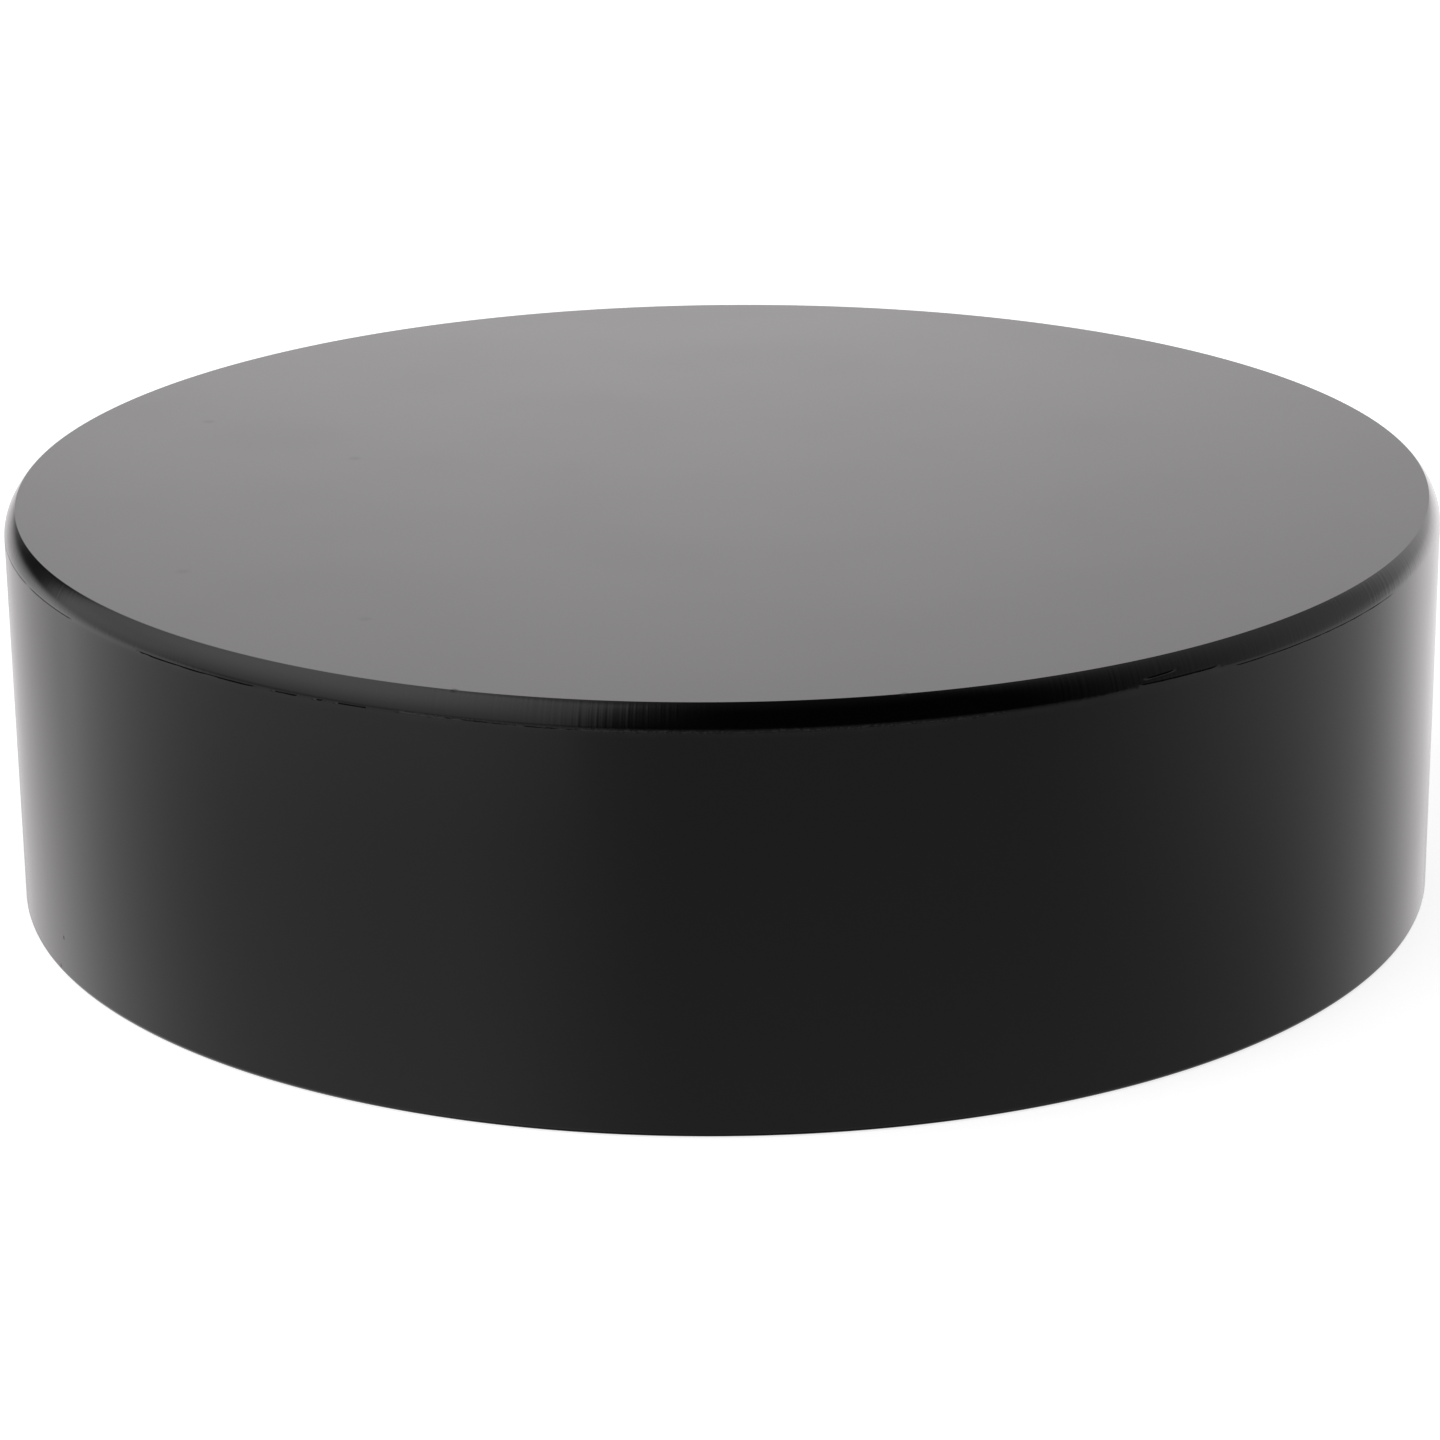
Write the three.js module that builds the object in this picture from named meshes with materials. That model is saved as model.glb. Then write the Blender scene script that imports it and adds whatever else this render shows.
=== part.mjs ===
// An ice hockey puck: one moulded disc of hard black rubber, with nothing inside it and nothing
// that moves. Millimetres, +Z up. The origin is the centre of the flat bottom face, on the axis.
//
// The outline that is turned about the axis has five surfaces:
//   bottom face   flat, the face that slides or rests
//   edge break    a small round where the bottom face meets the wall
//   wall          straight and upright
//   flash lip     what is left, once trimmed, of the thin rim where the two mould halves met
//   shoulder      a rounded bevel from the lip in to the crisp rim of the flat top face

import * as THREE from 'three';

// Driving dimensions.
const OUTER_DIAMETER = 76.2; // over the flash lip, the widest place
const THICKNESS = 21.6;
const SHOULDER_WIDTH = 0.62; // how far the rim of the top face lies inside the wall
const SHOULDER_HEIGHT = 1.22; // how far the shoulder reaches down from the top face
const SHOULDER_LEAN = 8; // degrees that the foot of the shoulder leans in from upright
const EDGE_BREAK = 0.3; // radius of the round at the bottom
const LIP_STANDOUT = 0.05; // how far the trimmed flash stands out from the wall
const LIP_HEIGHT = 0.2;

const STEPS_AROUND = 144;
const SHOULDER_STEPS = 6;
const EDGE_STEPS = 4;

const wallRadius = OUTER_DIAMETER / 2 - LIP_STANDOUT;
const rimRadius = wallRadius - SHOULDER_WIDTH;
const shoulderFoot = THICKNESS - SHOULDER_HEIGHT;

// A round stretch of the outline, as points from one direction to another about a centre.
function arcPoints(centreRadius, centreHeight, arcRadius, fromAngle, toAngle, steps) {
  const points = [];
  for (let step = 0; step <= steps; step += 1) {
    const angle = fromAngle + ((toAngle - fromAngle) * step) / steps;
    const radius = centreRadius + arcRadius * Math.cos(angle);
    const height = centreHeight + arcRadius * Math.sin(angle);
    points.push(new THREE.Vector2(radius, height));
  }
  return points;
}

// The quarter round between the bottom face and the wall.
function edgeBreakPoints() {
  return arcPoints(wallRadius - EDGE_BREAK, EDGE_BREAK, EDGE_BREAK, -Math.PI / 2, 0, EDGE_STEPS);
}

// The lip is a low ridge, highest half way up, with its top at the foot of the shoulder.
function lipPoints() {
  return [
    new THREE.Vector2(wallRadius, shoulderFoot - LIP_HEIGHT),
    new THREE.Vector2(wallRadius + LIP_STANDOUT, shoulderFoot - LIP_HEIGHT / 2),
  ];
}

// The shoulder is one arc from the foot to the rim. Its chord and its lean at the foot set the
// arc: the outline turns by twice the angle between the chord and the outline at the foot.
function shoulderPoints() {
  const lean = THREE.MathUtils.degToRad(SHOULDER_LEAN);
  const chordLean = Math.atan2(SHOULDER_WIDTH, SHOULDER_HEIGHT);
  const turn = 2 * (chordLean - lean);
  const chord = Math.hypot(SHOULDER_WIDTH, SHOULDER_HEIGHT);
  const arcRadius = chord / (2 * Math.sin(turn / 2));
  const centreRadius = wallRadius - arcRadius * Math.cos(lean);
  const centreHeight = shoulderFoot - arcRadius * Math.sin(lean);
  return arcPoints(centreRadius, centreHeight, arcRadius, lean, lean + turn, SHOULDER_STEPS);
}

function puckOutline() {
  return [
    new THREE.Vector2(0, 0),
    ...edgeBreakPoints(),
    ...lipPoints(),
    ...shoulderPoints(),
    new THREE.Vector2(0, THICKNESS),
  ];
}

const hardRubber = new THREE.MeshStandardMaterial({
  color: new THREE.Color(0.02, 0.02, 0.021),
  roughness: 0.2,
  metalness: 0,
});

// A turned outline stands along +Y, so it is laid over to stand along +Z.
function makePuckBody() {
  const geometry = new THREE.LatheGeometry(puckOutline(), STEPS_AROUND);
  geometry.rotateX(Math.PI / 2);
  const mesh = new THREE.Mesh(geometry, hardRubber);
  mesh.name = 'puck_body';
  return mesh;
}

const puck = new THREE.Group();
puck.add(makePuckBody());

export default puck;
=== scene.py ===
"""A hard rubber hockey puck on a plain pale floor, lit by large soft studio lights.

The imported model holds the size. The body made here lies inside it and adds what that one is
too coarse for: the round shoulder, the crisp rim, the ragged line of the trimmed moulding
flash, and the finish of the rubber. Lengths are in metres.
"""

import math

import bmesh
import bpy
from mathutils import Matrix, Vector, noise


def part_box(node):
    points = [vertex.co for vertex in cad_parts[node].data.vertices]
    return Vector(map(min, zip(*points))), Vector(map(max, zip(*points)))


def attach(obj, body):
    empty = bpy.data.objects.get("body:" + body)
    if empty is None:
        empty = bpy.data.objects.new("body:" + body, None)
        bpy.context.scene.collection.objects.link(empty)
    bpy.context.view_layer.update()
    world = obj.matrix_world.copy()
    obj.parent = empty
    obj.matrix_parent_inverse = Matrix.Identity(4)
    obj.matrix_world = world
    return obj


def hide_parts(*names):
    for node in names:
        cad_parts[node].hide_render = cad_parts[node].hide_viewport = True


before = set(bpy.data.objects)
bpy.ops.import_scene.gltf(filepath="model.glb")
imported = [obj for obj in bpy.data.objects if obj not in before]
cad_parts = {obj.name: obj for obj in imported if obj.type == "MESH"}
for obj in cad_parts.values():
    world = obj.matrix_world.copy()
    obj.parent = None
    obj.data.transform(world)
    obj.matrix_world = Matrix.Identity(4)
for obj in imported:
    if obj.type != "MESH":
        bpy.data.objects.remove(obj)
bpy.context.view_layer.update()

MM = 0.001

# The puck's outline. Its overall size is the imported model's.
LOW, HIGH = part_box("puck_body")
LIP_STANDOUT = 0.05 * MM
SHOULDER_WIDTH = 0.62 * MM
SHOULDER_HEIGHT = 1.22 * MM
SHOULDER_LEAN = math.radians(8)
EDGE_BREAK = 0.3 * MM

WALL_RADIUS = HIGH.x - LIP_STANDOUT
RIM_RADIUS = WALL_RADIUS - SHOULDER_WIDTH
SHOULDER_FOOT = HIGH.z - SHOULDER_HEIGHT

# Where the wall turns into the shoulder it does so over a short round, this far each way.
FOOT_ROUND = 0.12 * MM
WALL_TOP = SHOULDER_FOOT - 1.5 * FOOT_ROUND  # a ring of the mesh, just below that round

# The flash stood on the line where the mould halves met, at the foot of the shoulder. Trimming
# it left a fine dark groove under a narrow torn lip, which comes and goes round the puck. Each
# run of it is: (first bearing, last bearing, groove from 0 to 1, how ragged, how broken). A
# bearing is in degrees about the axis, from the front and plus to the right.
FLASH_RUNS = (
    (-80.0, -68.3, 0.45, 0.1, 0.1),
    (-66.8, -58.2, 0.4, 0.1, 0.1),
    (-48.0, -36.6, 0.95, 0.05, 0.3),
    (-36.6, -23.5, 0.8, 0.15, 1.0),
    (-23.5, -10.0, 0.3, 0.7, 0.6),
    (-10.0, 20.0, 0.12, 1.0, 0.6),
    (20.0, 31.0, 0.0, 0.35, 0.0),
    (31.0, 38.0, 0.8, 0.1, 0.0),
    (40.0, 61.0, 0.55, 0.1, 0.1),
    (84.0, 118.0, 0.3, 0.6, 0.5),
    (118.0, 171.0, 0.7, 0.3, 0.9),
    (-176.0, -128.0, 0.4, 0.7, 0.5),
    (-123.0, -92.0, 0.8, 0.2, 0.6),
)
# The line wanders. At some bearings: (bearing, how far the foot of the shoulder is above its
# usual height, how far the lip is above that same height). It changes smoothly in between.
LINE_COURSE = (
    (-180.0, 0.0, 0.03 * MM),
    (-57.0, 0.0, 0.05 * MM),
    (-48.0, 0.0, 0.08 * MM),
    (-22.0, 0.0, 0.09 * MM),
    (-10.0, 0.0, 0.0),
    (25.0, 0.0, 0.0),
    (32.0, 0.2 * MM, 0.26 * MM),
    (38.4, 0.18 * MM, 0.27 * MM),
    (39.6, 0.16 * MM, 0.03 * MM),
    (46.0, 0.0, 0.03 * MM),
    (180.0, 0.0, 0.03 * MM),
)
RUN_END = 1.0  # degrees over which a run comes in or dies out
GROOVE_HEIGHT = 0.055 * MM
GROOVE_DEPTH = 0.06 * MM
GROOVE_FLOOR_RISE = 0.012 * MM
LIP_HEIGHT = 0.03 * MM
LEAST_GAP = 0.012 * MM  # between the rings of the mesh where there is no groove
CREASED = 0.04  # a groove or cut of more than this, from 0 to 1, has crisp edges
SCUFF_HEIGHT = 0.3 * MM  # the strip of scuffed wall below the line

# What is irregular along the line, each as (length of one bump, place in the noise).
GAPS = (1.1 * MM, 5.3)
TEETH = (0.7 * MM, 7.7)
GRAIN = (0.3 * MM, 12.3)
DRIFT = (14 * MM, 3.1)
GAP_STARTS = 0.25  # where the noise is higher than this, a broken run starts to close
GAP_CLOSED = 0.45
TOOTH_SHARE = 0.1  # how much the teeth change even a clean groove
RAGGED_SHARE = 0.8  # how much teeth and grain each change a ragged one
GREATEST_GROOVE = 1.6
RAGGED_RISE = 0.03 * MM  # how far teeth and grain each shift a ragged line
RAGGED_DROP = 0.03 * MM
DRIFT_RISE = 0.012 * MM
NOISE_GAIN = 1.6  # brings the noise up to nearly -1 to 1

# A short cut in the shoulder: its two ends, as (bearing, height of its middle), and its size.
CUT_START = (31.0, SHOULDER_FOOT + 0.38 * MM)
CUT_END = (34.6, SHOULDER_FOOT + 0.52 * MM)
CUT_WIDTH = 0.1 * MM
CUT_DEPTH = 0.07 * MM
CUT_LEVEL = 4.0  # half lengths from its middle at which the mesh is level again
CUT_FULL = 0.4  # the share of its length over which it is full depth

# Nicks in the rim of the top face: (bearing, width, depth)
NICKS = (
    (-19.5, 0.25 * MM, 0.03 * MM),
    (12.8, 0.25 * MM, 0.03 * MM),
)
NICK_FLOOR = 0.1  # a nick is full depth this share of its width each way
NICK_REACH = 0.1 * MM  # how far the top face bends down to a nick

# The mesh.
STEPS_AROUND = 2160
EDGE_STEPS = 6
STEPS_BELOW_CUT = 4
STEPS_ABOVE_CUT = 9
FACE_RINGS = (0.5, 0.9)  # rings on each flat face, as shares of its radius
TORN_BELOW_LIP = 0.6  # how torn the groove is, and the wall below it, as shares of the lip
TORN_ON_WALL = 0.3


# ---------------------------------------------------------------------------------------------
# Shape
# ---------------------------------------------------------------------------------------------


def clamp(value, low=0.0, high=1.0):
    return max(low, min(high, value))


def smooth(value, low, high):
    """From 0 at low to 1 at high, with no kink at either end."""
    share = clamp((value - low) / (high - low))
    return share * share * (3 - 2 * share)


def ripple(bearing, kind):
    """Smooth noise from -1 to 1 along the puck's circumference, such as GAPS or TEETH."""
    length, level = kind
    turns = WALL_RADIUS / length
    angle = math.radians(bearing)
    place = Vector((turns * math.cos(angle), turns * math.sin(angle), level))
    return clamp(NOISE_GAIN * noise.noise(place), -1.0, 1.0)


def degrees_apart(first, second):
    return abs((first - second + 180) % 360 - 180)


def course_at(bearing):
    """How far the foot and the lip are above the foot's usual height at this bearing."""
    bearing = (bearing + 180) % 360 - 180
    for before, after in zip(LINE_COURSE, LINE_COURSE[1:]):
        if bearing <= after[0]:
            break
    share = smooth(bearing, before[0], after[0])
    return [low + (high - low) * share for low, high in zip(before[1:], after[1:])]


def flash_at(bearing):
    """What the trimmed flash leaves at this bearing: its groove from 0 to 1, how ragged it is,
    and how far it lies above its smooth course."""
    groove = 0.0
    ragged = 0.0
    for first, last, depth, raggedness, brokenness in FLASH_RUNS:
        middle = (first + last) / 2
        half = (last - first) / 2
        away = degrees_apart(bearing, middle)
        inside = 1 - smooth(away, half - RUN_END / 2, half + RUN_END / 2)
        gap = smooth(ripple(bearing, GAPS), GAP_STARTS, GAP_CLOSED) * brokenness
        groove += inside * depth * (1 - gap)
        ragged += inside * raggedness
    tooth = ripple(bearing, TEETH)
    grain = ripple(bearing, GRAIN)
    change = TOOTH_SHARE * tooth + RAGGED_SHARE * ragged * (tooth + grain)
    groove *= clamp(1 + change, 0.0, GREATEST_GROOVE)
    rise = DRIFT_RISE * ripple(bearing, DRIFT)
    rise += ragged * (RAGGED_RISE * (tooth + grain) - RAGGED_DROP)
    return clamp(groove), clamp(ragged), rise


def cut_at(bearing):
    """How deep the cut is at this bearing, from 0 to 1, and the height of its middle. Away from
    the cut that height is a steady one, for the rings of the mesh to follow."""
    middle = (CUT_START[0] + CUT_END[0]) / 2
    half = (CUT_END[0] - CUT_START[0]) / 2
    along = ((bearing - middle + 180) % 360 - 180) / half
    climb = (CUT_END[1] - CUT_START[1]) / 2 * along * (1 - smooth(abs(along), 1.0, CUT_LEVEL))
    inside = 1 - smooth(abs(along), CUT_FULL, 1.0)
    return inside, (CUT_START[1] + CUT_END[1]) / 2 + climb


def nick_at(bearing):
    """How deep the nicks cut into the rim of the top face at this bearing."""
    depth = 0.0
    for place, width, deepest in NICKS:
        away = math.radians(degrees_apart(bearing, place)) * RIM_RADIUS
        depth = max(depth, deepest * (1 - smooth(away, NICK_FLOOR * width, width / 2)))
    return depth


class ShoulderArc:
    """The shoulder as one arc. Its lean at the foot, and the chord from the foot of the shoulder
    to the rim of the top face, set the arc."""

    chord_lean = math.atan2(SHOULDER_WIDTH, SHOULDER_HEIGHT)
    turn = 2 * (chord_lean - SHOULDER_LEAN)
    radius = math.hypot(SHOULDER_WIDTH, SHOULDER_HEIGHT) / (2 * math.sin(turn / 2))
    centre_out = WALL_RADIUS - radius * math.cos(SHOULDER_LEAN)
    centre_up = SHOULDER_FOOT - radius * math.sin(SHOULDER_LEAN)

    @classmethod
    def out_at(cls, height):
        """The distance from the axis at a height."""
        return cls.centre_out + math.sqrt(cls.radius**2 - (height - cls.centre_up) ** 2)

    @classmethod
    def heights(cls, start, end, steps):
        """Heights between start and end, in equal steps along the arc."""
        low = math.asin((start - cls.centre_up) / cls.radius)
        high = math.asin((end - cls.centre_up) / cls.radius)
        for step in range(1, steps):
            angle = low + (high - low) * step / steps
            yield cls.centre_up + cls.radius * math.sin(angle)


def side_at(height, foot):
    """The side's distance from the axis: wall, then the round at the foot, then the arc."""
    if height >= foot + FOOT_ROUND:
        return ShoulderArc.out_at(height)
    if height <= foot - FOOT_ROUND:
        return WALL_RADIUS
    share = (height - foot + FOOT_ROUND) / (2 * FOOT_ROUND)
    drop = WALL_RADIUS - ShoulderArc.out_at(foot + FOOT_ROUND)
    return WALL_RADIUS - drop * share**2


def outline(bearing):
    """The puck's outline at one bearing, from near the middle of the bottom face to near the
    middle of the top face. Each point is (distance from the axis, height, how torn, how scuffed,
    whether the edge through it is crisp), and there are always as many."""
    flat = (0.0, 0.0, False)
    flat_radius = WALL_RADIUS - EDGE_BREAK
    points = [(flat_radius * share, LOW.z, *flat) for share in FACE_RINGS]
    for step in range(EDGE_STEPS + 1):
        angle = math.pi / 2 * step / EDGE_STEPS
        out = flat_radius + EDGE_BREAK * math.sin(angle)
        points.append((out, LOW.z + EDGE_BREAK * (1 - math.cos(angle)), *flat))

    groove, ragged, rise = flash_at(bearing)
    creased = groove > CREASED
    foot, lip_top = (SHOULDER_FOOT + rise + lift for lift in course_at(bearing))
    lip_bottom = lip_top - LEAST_GAP - LIP_HEIGHT * groove
    groove_bottom = lip_bottom - 2 * LEAST_GAP - GROOVE_HEIGHT * groove
    groove_floor = groove_bottom + LEAST_GAP + GROOVE_FLOOR_RISE * groove
    for height, depth, torn, scuffed, crisp in (
        (SHOULDER_FOOT - FOOT_ROUND - SCUFF_HEIGHT, 0.0, 0.0, 0.0, False),
        (WALL_TOP, 0.0, 0.0, 1.0, False),
        ((WALL_TOP + groove_bottom) / 2, 0.0, TORN_ON_WALL * ragged, 1.0, False),
        (groove_bottom, 0.0, TORN_BELOW_LIP * ragged, 1.0, creased),
        (groove_floor, GROOVE_DEPTH * groove, TORN_BELOW_LIP * ragged, 0.0, creased),
        (lip_bottom, 0.0, ragged, 0.0, creased),
        (lip_top, 0.0, ragged, 0.0, False),
    ):
        points.append((side_at(height, foot) - depth, height, torn, scuffed, crisp))

    cut, cut_middle = cut_at(bearing)
    cut_low = cut_middle - CUT_WIDTH / 2
    cut_high = cut_middle + CUT_WIDTH / 2
    cut_edge = (0.0, 0.0, cut > CREASED)
    for height in ShoulderArc.heights(lip_top, cut_low, STEPS_BELOW_CUT):
        points.append((side_at(height, foot), height, *flat))
    points.append((side_at(cut_low, foot), cut_low, *cut_edge))
    points.append((side_at(cut_middle, foot) - CUT_DEPTH * cut, cut_middle, *cut_edge))
    points.append((side_at(cut_high, foot), cut_high, *cut_edge))
    for height in ShoulderArc.heights(cut_high, HIGH.z, STEPS_ABOVE_CUT):
        points.append((side_at(height, foot), height, *flat))

    nick = nick_at(bearing)
    points.append((RIM_RADIUS - nick / 2, HIGH.z - nick, 0.0, 0.0, True))
    points += [(RIM_RADIUS - reach * NICK_REACH, HIGH.z, *flat) for reach in (1, 2)]
    points += [(RIM_RADIUS * share, HIGH.z, *flat) for share in reversed(FACE_RINGS)]
    return points


def make_body():
    """Turns the outline about the axis and closes it with a point in the middle of each face."""
    mesh = bmesh.new()
    torn_layer = mesh.verts.layers.float.new("torn")
    scuff_layer = mesh.verts.layers.float.new("scuffed")
    bearings = [360 * step / STEPS_AROUND for step in range(STEPS_AROUND)]
    columns = [outline(bearing) for bearing in bearings]
    bottom = mesh.verts.new((0.0, 0.0, LOW.z))
    top = mesh.verts.new((0.0, 0.0, HIGH.z))
    rings = []
    for ring in range(len(columns[0])):
        row = []
        for bearing, column in zip(bearings, columns):
            out, height, torn, scuffed, _ = column[ring]
            angle = math.radians(bearing)
            vertex = mesh.verts.new((out * math.sin(angle), -out * math.cos(angle), height))
            vertex[torn_layer] = torn
            vertex[scuff_layer] = scuffed
            row.append(vertex)
        rings.append(row)
    for step in range(STEPS_AROUND):
        after = (step + 1) % STEPS_AROUND
        mesh.faces.new((bottom, rings[0][after], rings[0][step]))
        mesh.faces.new((rings[-1][step], rings[-1][after], top))
        for lower, upper in zip(rings, rings[1:]):
            mesh.faces.new((lower[step], lower[after], upper[after], upper[step]))
        for ring, row in enumerate(rings):
            if columns[step][ring][-1]:
                mesh.edges.get((row[step], row[after])).smooth = False
    for face in mesh.faces:
        face.smooth = True
    data = bpy.data.meshes.new("rubber_body")
    mesh.to_mesh(data)
    mesh.free()
    body = bpy.data.objects.new("rubber_body", data)
    bpy.context.scene.collection.objects.link(body)
    return body


# ---------------------------------------------------------------------------------------------
# Material
# ---------------------------------------------------------------------------------------------


# The finish. Noise scales are in bumps per metre, and a range is (lowest, highest).
SMUDGE_SCALE = 90.0
TONE_SCALE = 40.0
SKIN_SCALE = 1500.0
SHRED_SCALE = 7000.0
SCUFF_SCALE = 600.0
ROUGHNESS = (0.11, 0.16)
DARKEST = (0.0008, 0.0008, 0.0008, 1.0)
LIGHTEST = (0.0016, 0.0016, 0.0016, 1.0)
SKIN_RELIEF = 0.0003 * MM
SCRAPE_PITCH = 0.24 * MM
SCRAPE_RELIEF = 0.0045 * MM
SCRAPE_FADE = 0.15 * MM  # above the foot of the shoulder
SCRAPE_END = (0.1 * MM, 0.01 * MM)  # the scraping fades between these depths below the rim

# What wear adds to the clean rubber: (brightness of the worn rubber, added roughness)
SPECK_WEAR = (0.012, 0.35)
TORN_WEAR = (0.014, 0.3)
SCUFF_WEAR = (0.004, 0.03)


class Nodes:
    """Adds nodes to a tree in few words. An input is a socket to link or a plain value."""

    def __init__(self, tree):
        self.tree = tree
        tree.nodes.clear()

    def add(self, kind, inputs=None, **settings):
        node = self.tree.nodes.new(kind)
        for name, value in settings.items():
            setattr(node, name, value)
        for name, value in (inputs or {}).items():
            if isinstance(value, bpy.types.NodeSocket):
                self.tree.links.new(value, node.inputs[name])
            else:
                node.inputs[name].default_value = value
        return node

    def math(self, operation, first, second=0.0, third=0.0):
        inputs = {0: first, 1: second, 2: third}
        return self.add("ShaderNodeMath", inputs, operation=operation).outputs[0]

    def ramp(self, value, from_low, from_high, to_low, to_high):
        """Maps one range smoothly onto another, and holds the ends."""
        inputs = {
            "Value": value,
            "From Min": from_low,
            "From Max": from_high,
            "To Min": to_low,
            "To Max": to_high,
        }
        node = self.add("ShaderNodeMapRange", inputs, interpolation_type="SMOOTHSTEP")
        return node.outputs["Result"]

    def noise(self, place, scale, detail=2.0):
        inputs = {"Vector": place, "Scale": scale, "Detail": detail}
        return self.add("ShaderNodeTexNoise", inputs).outputs["Fac"]

    def mix(self, share, first, second):
        inputs = {0: share, 6: first, 7: second}
        return self.add("ShaderNodeMix", inputs, data_type="RGBA").outputs[2]

    def bump(self, height, relief, **over):
        """A relief of this height in the surface, over another one if that is given."""
        inputs = {"Height": height, "Strength": 1.0, "Distance": relief, **over}
        return self.add("ShaderNodeBump", inputs).outputs["Normal"]


def on_wall(bearing, height):
    """A place on the wall, from its bearing in degrees and its height."""
    angle = math.radians(bearing)
    return (WALL_RADIUS * math.sin(angle), -WALL_RADIUS * math.cos(angle), LOW.z + height)


def on_top(across, away):
    """A place on the top face, from its distances to the right of the axis and behind it."""
    return (across, away, HIGH.z)


# Specks of dust and faint smudges: (place, width, height over width, strength)
SPECKS = (
    (on_wall(-63.5, 2.2 * MM), 0.3 * MM, 1.0, 1.0),
    (on_wall(-64.6, 0.4 * MM), 0.25 * MM, 1.0, 1.0),
    (on_wall(58.7, 19.0 * MM), 0.6 * MM, 2.0, 0.35),
    (on_wall(148.0, 12.0 * MM), 0.3 * MM, 1.0, 0.8),
    (on_wall(-122.0, 6.5 * MM), 0.4 * MM, 1.5, 0.5),
    (on_top(-27.1 * MM, -16.3 * MM), 0.9 * MM, 1.0, 0.3),
    (on_top(-28.6 * MM, 11.9 * MM), 0.8 * MM, 1.0, 0.3),
    (on_top(-17.4 * MM, -24.4 * MM), 0.8 * MM, 1.0, 0.3),
    (on_top(-19.9 * MM, 4.1 * MM), 0.8 * MM, 1.0, 0.3),
)
SPECK_CORE = 0.2  # a speck is full strength this share of its width from its middle
SPECK_EDGE = 0.6  # and gone this share of it


def speck_mask(nodes, place):
    """1 in the middle of each speck, by its strength, and 0 away from them all."""
    mask = 0.0
    for middle, width, stretch, strength in SPECKS:
        aside = nodes.add("ShaderNodeVectorMath", {0: place, 1: middle}, operation="SUBTRACT")
        squeezed = nodes.add(
            "ShaderNodeVectorMath",
            {0: aside.outputs[0], 1: (1.0, 1.0, 1.0 / stretch)},
            operation="MULTIPLY",
        )
        away = nodes.add(
            "ShaderNodeVectorMath", {0: squeezed.outputs[0]}, operation="LENGTH"
        ).outputs["Value"]
        spot = nodes.ramp(away, SPECK_CORE * width, SPECK_EDGE * width, strength, 0.0)
        mask = nodes.math("ADD", spot, mask)
    return mask


def make_rubber():
    """Glossy black rubber: faint smudges in the gloss, the mould's fine skin, scraping marks
    across the shoulder, a torn line and a scuffed strip at the flash, and specks."""
    material = bpy.data.materials.new("hard_rubber")
    material.use_nodes = True
    nodes = Nodes(material.node_tree)
    place = nodes.add("ShaderNodeTexCoord").outputs["Object"]
    apart = nodes.add("ShaderNodeSeparateXYZ", {0: place}).outputs
    forward = nodes.math("MULTIPLY", apart["Y"], -1.0)
    bearing = nodes.math("ARCTAN2", apart["X"], forward)

    # Smudges change the gloss a little, over 5 to 15 mm.
    smudge = nodes.noise(place, SMUDGE_SCALE, 3.0)
    roughness = nodes.ramp(smudge, 0.35, 0.7, *ROUGHNESS)

    # Scraping marks run across the shoulder, a few tenths of a millimetre apart.
    above_foot = nodes.ramp(apart["Z"], SHOULDER_FOOT, SHOULDER_FOOT + SCRAPE_FADE, 0.0, 1.0)
    fade_start, fade_end = (HIGH.z - depth for depth in SCRAPE_END)
    below_rim = nodes.ramp(apart["Z"], fade_start, fade_end, 1.0, 0.0)
    along = nodes.math("MULTIPLY", bearing, WALL_RADIUS / SCRAPE_PITCH)
    scrape = nodes.add(
        "ShaderNodeTexNoise", {"W": along, "Scale": 1.0, "Detail": 1.0}, noise_dimensions="1D"
    ).outputs["Fac"]
    scrape = nodes.math("MULTIPLY", scrape, nodes.math("MULTIPLY", above_foot, below_rim))
    scraped = nodes.bump(scrape, SCRAPE_RELIEF)

    # The skin that the mould leaves, far finer than the puck.
    skin = nodes.noise(place, SKIN_SCALE, 3.0)
    skinned = nodes.bump(skin, SKIN_RELIEF, Normal=scraped)

    # Torn rubber at the foot of the shoulder, in fine shreds.
    shreds = nodes.ramp(nodes.noise(place, SHRED_SCALE, 3.0), 0.4, 0.62, 0.15, 1.0)
    torn = nodes.add("ShaderNodeAttribute", attribute_name="torn").outputs["Fac"]
    torn = nodes.math("MULTIPLY", torn, shreds)

    # A scuffed strip on the wall just below it.
    scuffs = nodes.ramp(nodes.noise(place, SCUFF_SCALE), 0.35, 0.65, 0.3, 1.0)
    scuffed = nodes.add("ShaderNodeAttribute", attribute_name="scuffed").outputs["Fac"]
    scuffed = nodes.math("MULTIPLY", scuffed, scuffs)

    speck = speck_mask(nodes, place)
    tone = nodes.noise(place, TONE_SCALE, 4.0)
    colour = nodes.mix(tone, DARKEST, LIGHTEST)
    for mask, (worn, added) in ((speck, SPECK_WEAR), (torn, TORN_WEAR), (scuffed, SCUFF_WEAR)):
        colour = nodes.mix(mask, colour, (worn, worn, worn, 1.0))
        roughness = nodes.math("MULTIPLY_ADD", mask, added, roughness)

    shader = nodes.add(
        "ShaderNodeBsdfPrincipled",
        {
            "Base Color": colour,
            "Roughness": roughness,
            "IOR": 1.5,
            "Normal": skinned,
        },
    )
    nodes.add("ShaderNodeOutputMaterial", {"Surface": shader.outputs["BSDF"]})
    return material


# ---------------------------------------------------------------------------------------------
# Studio
# ---------------------------------------------------------------------------------------------

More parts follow.
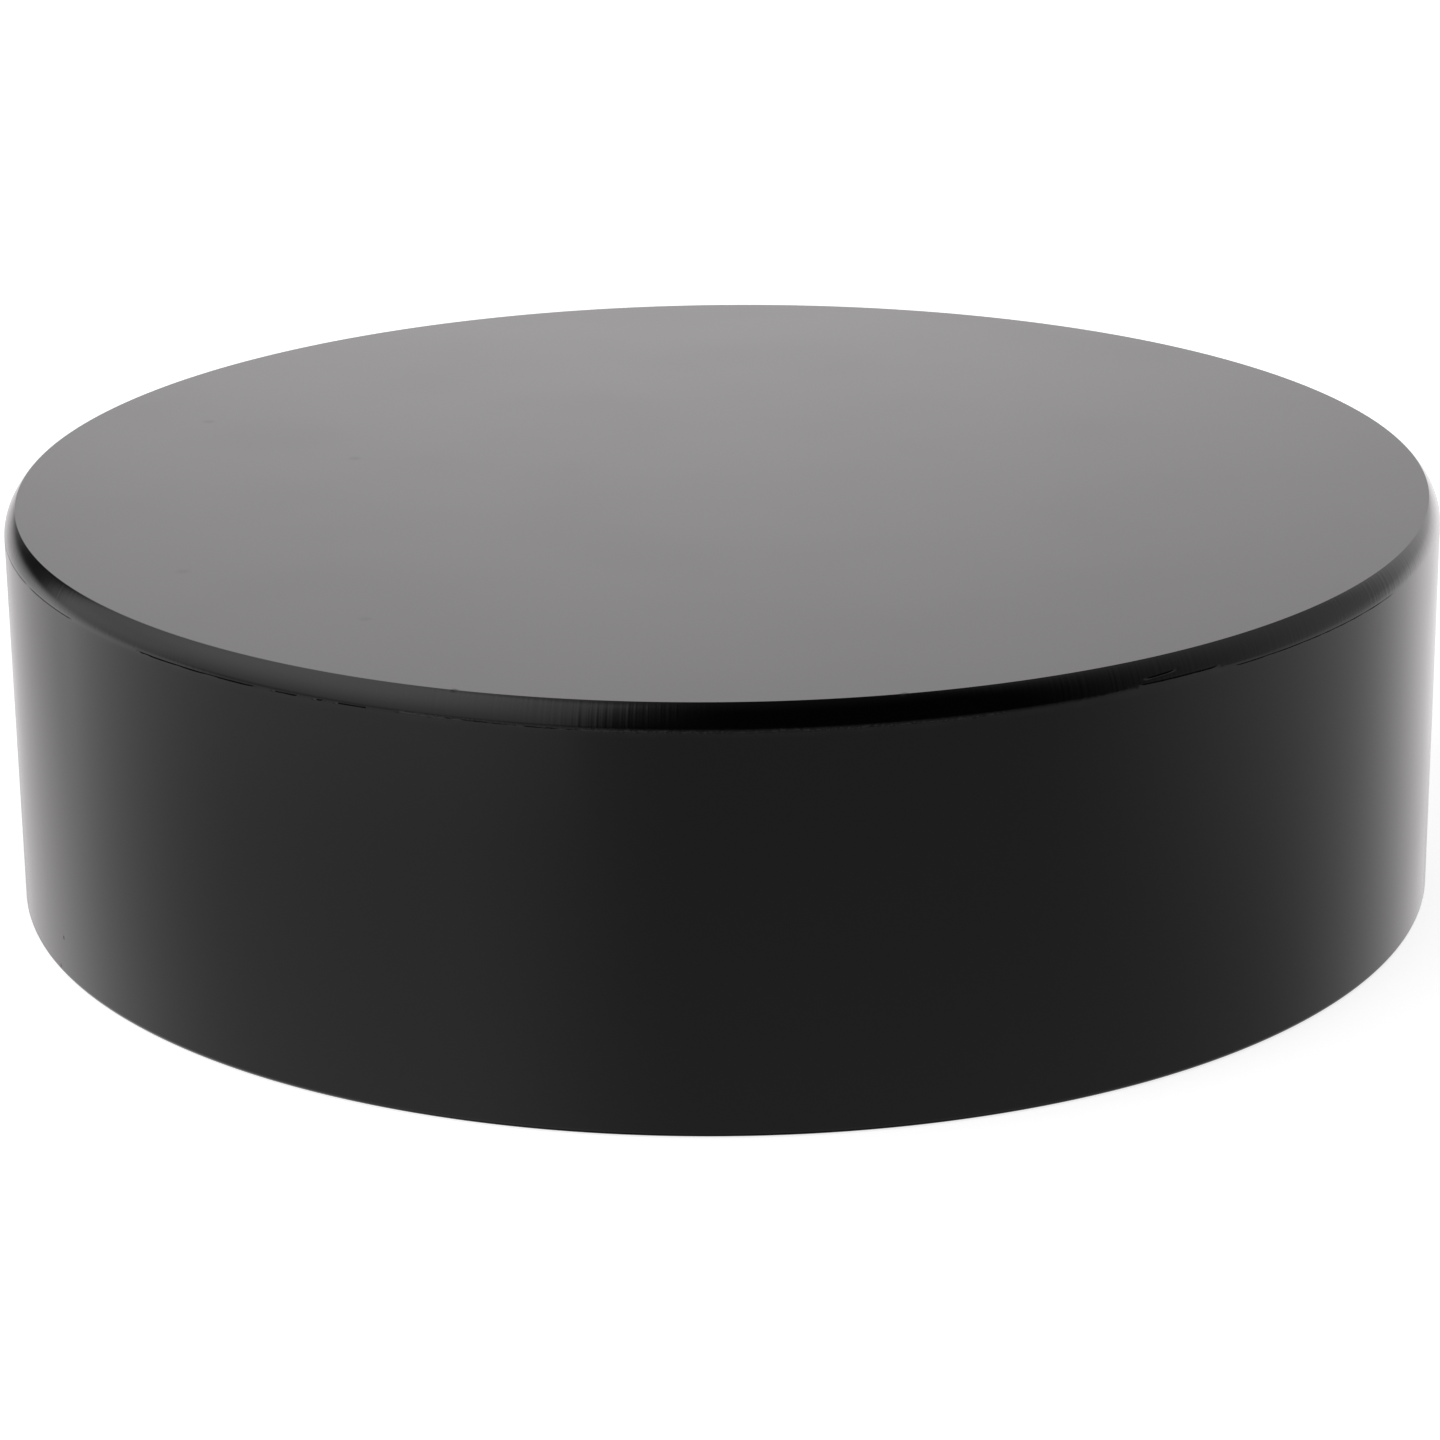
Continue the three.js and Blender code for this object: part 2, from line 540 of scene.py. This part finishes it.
# The lights are large soft cards that fill parts of the room round the puck. Azimuth is from
# the camera's side, plus to its right, and elevation is above the floor, both in degrees:
# (brightness, azimuth of the middle, half width, soft edge, elevation, half height, soft edge)
CARDS = (
    ("floor, all round", 0.285, 0, 200, 1, -35, 27, 7),
    ("floor, close to the puck", 0.12, 0, 200, 1, -56, 24, 10),
    ("floor, left of the puck", 0.23, -87, 61, 21, -32, 28, 3),
    ("floor, under the left softbox", 0.15, -75, 53, 3, -11.5, 8.5, 3),
    ("floor, far left", 0.35, -110, 24, 6, -8, 7, 4),
    ("floor, behind the puck", 0.5, 186, 56, 37, -30, 30, 3),
    ("backdrop", 1.0, 180, 21, 21, 14, 27, 13),
    ("backdrop, brighter at its foot", 0.34, 185, 16, 15, 6, 14, 8),
    ("left softbox", 0.5, -74, 53, 6, 30, 31, 5),
    ("left softbox, lower far end", 0.12, -109, 15, 5, 5, 10, 6),
    ("left softbox, bright upper part", 0.95, -76, 43, 33, 47, 32, 29),
    ("right wall", 0.49, 111, 34, 34, 25, 46, 9),
    ("right end of the backdrop", 0.8, 145, 15, 15, 14, 31, 10),
    ("ceiling", 0.06, 0, 200, 1, 90, 35, 15),
)
ROOM_TINT = (1.0, 0.975, 0.987, 1.0)
WHITE = (1.0, 1.0, 1.0, 1.0)
FLOOR_REACH = 4.0  # metres each way
FLOOR_COLOUR = (0.8, 0.8, 0.8, 1.0)
FLOOR_GLOW = 0.8


def card_glow(nodes, azimuth, elevation, card):
    """How bright one card is in each direction."""
    _, brightness, middle, half_width, side_soft, level, half_height, edge_soft = card
    turned = nodes.math("SUBTRACT", azimuth, math.radians(middle))
    aside = nodes.math("PINGPONG", turned, math.pi)
    low = math.radians(half_width - side_soft)
    high = math.radians(half_width + side_soft)
    across = nodes.ramp(aside, low, high, brightness, 0.0)
    away = nodes.math("ABSOLUTE", nodes.math("SUBTRACT", elevation, math.radians(level)))
    low = math.radians(half_height - edge_soft)
    high = math.radians(half_height + edge_soft)
    upright = nodes.ramp(away, low, high, 1.0, 0.0)
    return nodes.math("MULTIPLY", across, upright)


def light_studio():
    """Lights the puck with the cards. The camera itself sees plain white behind it."""
    world = bpy.data.worlds.new("studio")
    world.use_nodes = True
    bpy.context.scene.world = world
    nodes = Nodes(world.node_tree)
    direction = nodes.add("ShaderNodeTexCoord").outputs["Generated"]
    apart = nodes.add("ShaderNodeSeparateXYZ", {0: direction}).outputs
    to_camera = nodes.math("MULTIPLY", apart["Y"], -1.0)
    azimuth = nodes.math("ARCTAN2", apart["X"], to_camera)
    elevation = nodes.math("ARCSINE", apart["Z"])
    glow = 0.0
    for card in CARDS:
        glow = nodes.math("ADD", card_glow(nodes, azimuth, elevation, card), glow)
    room = nodes.add("ShaderNodeBackground", {"Color": ROOM_TINT, "Strength": glow})
    plain = nodes.add("ShaderNodeBackground", {"Color": WHITE, "Strength": 1.0})
    seen = nodes.add("ShaderNodeLightPath").outputs["Is Camera Ray"]
    both = nodes.add("ShaderNodeMixShader", {0: seen, 1: room.outputs[0], 2: plain.outputs[0]})
    nodes.add("ShaderNodeOutputWorld", {"Surface": both.outputs[0]})


def make_floor():
    """A pale floor. It glows a little, as a white sheet lit from below does, so that the puck
    casts only a faint shadow, and the puck's gloss shows the studio and not the floor."""
    data = bpy.data.meshes.new("floor")
    signs = ((-1, -1), (1, -1), (1, 1), (-1, 1))
    corners = [(FLOOR_REACH * across, FLOOR_REACH * away, LOW.z) for across, away in signs]
    data.from_pydata(corners, [], [(0, 1, 2, 3)])
    floor = bpy.data.objects.new("floor", data)
    bpy.context.scene.collection.objects.link(floor)
    material = bpy.data.materials.new("pale_floor")
    material.use_nodes = True
    nodes = Nodes(material.node_tree)
    shader = nodes.add(
        "ShaderNodeBsdfPrincipled",
        {
            "Base Color": FLOOR_COLOUR,
            "Roughness": 0.9,
            "Emission Color": WHITE,
            "Emission Strength": FLOOR_GLOW,
        },
    )
    nodes.add("ShaderNodeOutputMaterial", {"Surface": shader.outputs["BSDF"]})
    data.materials.append(material)
    floor.visible_glossy = False


# The camera looks at a point on the puck's axis from the front, a little rolled.
AIM = Vector((-0.22 * MM, 0.0, 7.77 * MM))
CAMERA_DISTANCE = 255.2 * MM
CAMERA_ELEVATION = math.radians(19.1)
CAMERA_ROLL = math.radians(-0.61)
LENS_MM = 117.25
SENSOR_MM = 36.0
NEAREST_SEEN = 10 * MM
FARTHEST_SEEN = 20.0


def make_camera():
    data = bpy.data.cameras.new("camera")
    data.sensor_width = SENSOR_MM
    data.lens = LENS_MM
    data.clip_start = NEAREST_SEEN
    data.clip_end = FARTHEST_SEEN
    camera = bpy.data.objects.new("camera", data)
    bpy.context.scene.collection.objects.link(camera)
    tilt = Matrix.Rotation(math.pi / 2 - CAMERA_ELEVATION, 4, "X")
    roll = Matrix.Rotation(CAMERA_ROLL, 4, "Z")
    back = Vector((0.0, -math.cos(CAMERA_ELEVATION), math.sin(CAMERA_ELEVATION)))
    camera.matrix_world = Matrix.Translation(AIM + CAMERA_DISTANCE * back) @ tilt @ roll
    bpy.context.scene.camera = camera


# ---------------------------------------------------------------------------------------------
# The scene
# ---------------------------------------------------------------------------------------------

make_camera()
light_studio()
make_floor()
bpy.context.scene.view_settings.view_transform = "Standard"

body = make_body()
body.data.materials.append(make_rubber())
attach(body, "root")
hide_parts("puck_body")
